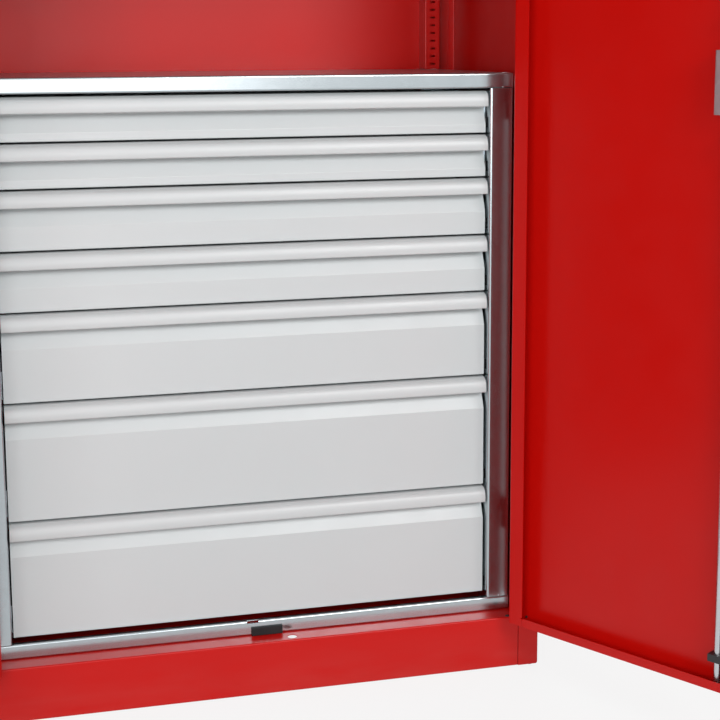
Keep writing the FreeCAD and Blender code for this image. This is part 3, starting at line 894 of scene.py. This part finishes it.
@dataclass
class DrawerBlock:
    """The galvanised frame with its seven drawers and their runners."""

    drawers: int = 7
    plane: float = -0.2125
    rivet_x: float = 0.438
    rivet_radius: float = 0.0017
    rivet_proud: float = 0.0006
    rivet_sides: int = 24
    rivet_heights: tuple[float, float] = (0.1232, 1.0306)
    front_half: float = 0.412
    # Size and place of the dark blocks that paint the shade in the notches at the drawer fronts' ends
    notch_shadow_depth: float = 0.0165
    notch_shadow_rise: float = 0.009
    notch_shadow_size: Point = (0.0018, 0.007, 0.017)

    def rivets(self) -> None:
        """Four low rivet heads at the ends of the front rails."""
        blank = Workpiece.disc("block_rivet_blank", self.rivet_radius, self.rivet_proud, self.rivet_sides)
        blank.bevel(faces_up, self.rivet_proud / 2)
        lay_front = Matrix.Rotation(math.radians(90), 4, "X")
        moves = [
            Matrix.Translation((side * self.rivet_x, self.plane, height)) @ lay_front
            for height in self.rivet_heights
            for side in (-1, 1)
        ]
        heads = blank.repeated("block_rivets", moves)
        blank.discard()
        heads.finish(ZINC_PARTS, "cabinet", "zinc_parts")

    def notch_shadows(self, number: int) -> None:
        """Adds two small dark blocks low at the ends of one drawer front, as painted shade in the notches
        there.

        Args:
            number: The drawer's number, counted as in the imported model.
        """
        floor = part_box(f"drawer_front_{number}")[0][2]
        pair = []
        for low_x in (-self.front_half - self.notch_shadow_size[0], self.front_half):
            corner = (low_x, self.plane + self.notch_shadow_depth, floor + self.notch_shadow_rise)
            # Painted shade: a dark block in the notch, where only shadow would show
            shadow_block = Workpiece.block("notch_shadow_block", self.notch_shadow_size, corner)
            shadow_block.bevel(faces_front, self.notch_shadow_size[0] / 4)
            pair.append(shadow_block)
        joined(f"drawer_notch_shadows_{number}", pair).finish(BLACK_PLASTIC, f"drawer_{number}", "black_plastic")

    def build(self) -> None:
        """Dresses the frame, the drawers and the runners, and adds rivets and the painted notch shadows."""
        self.rivets()
        dress(ZINC_FRONT, "block_side_right", "block_side_left", "block_top_rail", "block_bottom_rail")
        dress(ZINC_SHEET, "block_rear_rails", "block_cover")
        dress(RUNNER_STEEL, "cabinet_runners")
        for number in range(1, self.drawers + 1):
            self.notch_shadows(number)
            dress(GREY_COAT, f"drawer_front_{number}")
            dress(GREY_INSIDE, f"drawer_box_{number}")
            dress(RUNNER_STEEL, f"drawer_rails_{number}", f"middle_rails_{number}")


class Shelving:
    """Two galvanised shelves on clips in the slotted uprights."""

    def build(self) -> None:
        """Dresses the shelves and their clips."""
        dress(ZINC_SHEET, "shelves")
        dress(ZINC_PARTS, "shelf_clips")


@dataclass
class DoorPair:
    """Both doors, their hinges, the overlap strip and the dark plugs near their corners."""

    edge: float = 0.46
    bottom: float = 0.0976
    top: float = 1.906
    skin: float = -0.2488
    plug_in: float = 0.0176
    plug_up: float = 0.007
    plug_radius: float = 0.0022
    plug_proud: float = 0.0012
    plug_round: float = 0.0005
    plug_sides: int = 24

    def plugs(self, blank: Workpiece, label: str, side: int) -> None:
        """Adds the two plugs of one door.

        Args:
            blank: The plug to copy.
            label: The door's side in names.
            side: 1 for the right door, -1 for the left one.
        """
        lay_back = Matrix.Rotation(math.radians(-90), 4, "X")
        moves = []
        for height in (self.bottom + self.plug_up, self.top - self.plug_up):
            seat = Matrix.Translation((side * (self.edge - self.plug_in), self.skin, height))
            moves.append(DOOR.opened(side) @ seat @ lay_back)
        caps = blank.repeated(f"door_plugs_{label}", moves)
        caps.finish(BLACK_PLASTIC, f"door_{label}", "black_plastic")

    def build(self) -> None:
        """Dresses the doors and adds the plugs."""
        dress(RED_COAT, "door_right", "door_left", "hinge_sleeves_right", "hinge_sleeves_left")
        dress(RED_COAT, "overlap_strip")
        blank = Workpiece.disc("door_plug_blank", self.plug_radius, self.plug_proud, self.plug_sides)
        blank.bevel(faces_up, self.plug_round)
        self.plugs(blank, "right", 1)
        self.plugs(blank, "left", -1)
        blank.discard()


class RodLock:
    """The handle, its plate and cylinder, the gear case and the two rods."""

    def build(self) -> None:
        """Dresses the lock's pieces."""
        dress(ZINC_SHEET, "lock_case")
        dress(ZINC_PARTS, "lock_spindle", "key_cylinder", "lock_rod_lower", "lock_rod_upper")
        dress(BLACK_PLASTIC, "handle_lever", "handle_plate", "rod_guides")


@dataclass(frozen=True)
class Lamp:
    """One large soft lamp that points at a target."""

    name: str
    place: Point
    target: Point
    size: tuple[float, float]
    power: float

    def build(self) -> None:
        """Adds the lamp to the scene."""
        data = bpy.data.lights.new(self.name, "AREA")
        data.shape = "RECTANGLE"
        data.size, data.size_y = self.size
        data.energy = self.power
        lamp = bpy.data.objects.new(self.name, data)
        bpy.context.scene.collection.objects.link(lamp)
        lamp.location = self.place
        aim = Vector(self.target) - Vector(self.place)
        lamp.rotation_euler = aim.to_track_quat("-Z", "Y").to_euler()


LAMPS = (
    Lamp("left", place=(-2.4, -4.4, 1.7), target=(0.1, 0.0, 0.75), size=(2.4, 2.0), power=110.0),
    Lamp("front", place=(-0.5, -5.6, 1.3), target=(0.0, 0.0, 0.7), size=(3.0, 2.0), power=36.0),
    Lamp("right", place=(1.5, -4.4, 2.7), target=(0.0, 0.0, 0.7), size=(1.8, 1.4), power=98.0),
    Lamp("rear", place=(1.8, 4.8, 2.6), target=(0.0, 0.0, 1.0), size=(3.0, 2.4), power=130.0),
)


@dataclass
class Studio:
    """A pale floor, soft light and the camera at the photograph's place."""

    camera_place: Point = (-0.4364, -2.630, 1.105)
    yaw: float = 14.391
    pitch: float = -8.779
    roll: float = -0.314
    lens: float = 74.42
    sensor: float = 36.0
    shift: float = -0.12
    world_level: float = 0.15
    floor_span: float = 40.0
    floor_grey: float = 0.6
    floor_glow: float = 0.86

    def seen(self, graph: Graph) -> bpy.types.NodeSocket:
        """Makes a mask of what the camera sees, straight, mirrored in metal or through something clear.

        Args:
            graph: The graph that gets the mask.

        Returns:
            The socket of the mask, which is 1 where something is seen and 0 elsewhere.
        """
        rays = graph.add("ShaderNodeLightPath")
        mirrored = graph.maths("MAXIMUM", rays.outputs["Is Glossy Ray"], rays.outputs["Is Transmission Ray"])
        return graph.maths("MAXIMUM", rays.outputs["Is Camera Ray"], mirrored)

    def floor(self) -> None:
        """The floor, white to the camera apart from a faint shadow."""
        Workpiece.clear_selection()
        bpy.ops.mesh.primitive_plane_add(size=self.floor_span, location=(0.0, 0.0, 0.0))
        plane = bpy.context.active_object
        plane.name = "studio_floor"
        made = bpy.data.materials.new("studio_white")
        made.use_nodes = True
        graph = Graph(made.node_tree)
        matt = graph.add("ShaderNodeBsdfDiffuse")
        matt.inputs["Color"].default_value = (self.floor_grey, self.floor_grey, self.floor_grey, 1.0)
        glow = graph.add("ShaderNodeEmission")
        glow.inputs["Strength"].default_value = 1.0
        mixed = graph.add("ShaderNodeMixShader")
        graph.join(graph.maths("MULTIPLY", self.seen(graph), self.floor_glow), mixed.inputs[0])
        graph.join(matt.outputs[0], mixed.inputs[1])
        graph.join(glow.outputs[0], mixed.inputs[2])
        leave = graph.add("ShaderNodeOutputMaterial")
        graph.join(mixed.outputs[0], leave.inputs["Surface"])
        plane.data.materials.append(made)

    def world(self) -> None:
        """A plain grey surround for the light, white where it is seen or mirrored."""
        world = bpy.data.worlds.new("studio_world")
        bpy.context.scene.world = world
        world.use_nodes = True
        graph = Graph(world.node_tree)
        level = graph.ranged(self.seen(graph), (0.0, 1.0), (self.world_level, 1.0))
        sky = graph.add("ShaderNodeBackground")
        sky.inputs["Color"].default_value = (1.0, 1.0, 1.0, 1.0)
        graph.join(level, sky.inputs["Strength"])
        leave = graph.add("ShaderNodeOutputWorld")
        graph.join(sky.outputs[0], leave.inputs["Surface"])

    def camera(self) -> None:
        """The camera: the photograph's place and lens, tilted down with a small shift."""
        data = bpy.data.cameras.new("photo_camera")
        data.sensor_width = self.sensor
        data.lens = self.lens
        data.shift_y = self.shift
        camera = bpy.data.objects.new("photo_camera", data)
        bpy.context.scene.collection.objects.link(camera)
        turn = Matrix.Rotation(-math.radians(self.yaw), 4, "Z")
        turn @= Matrix.Rotation(math.radians(90 + self.pitch), 4, "X")
        turn @= Matrix.Rotation(math.radians(self.roll), 4, "Z")
        camera.matrix_world = Matrix.Translation(self.camera_place) @ turn
        bpy.context.scene.camera = camera

    def build(self) -> None:
        """Sets up the floor, the surround, the lamps and the camera."""
        self.floor()
        self.world()
        for lamp in LAMPS:
            lamp.build()
        self.camera()
        bpy.context.scene.view_settings.view_transform = "Standard"


def main() -> None:
    logging.basicConfig(level=logging.INFO, format="%(name)s: %(message)s")
    for assembly in (Studio(), Carcass(), DrawerBlock(), Shelving(), DoorPair(), RodLock()):
        log.info("building %s", type(assembly).__name__)
        assembly.build()


if __name__ == "__main__":
    main()
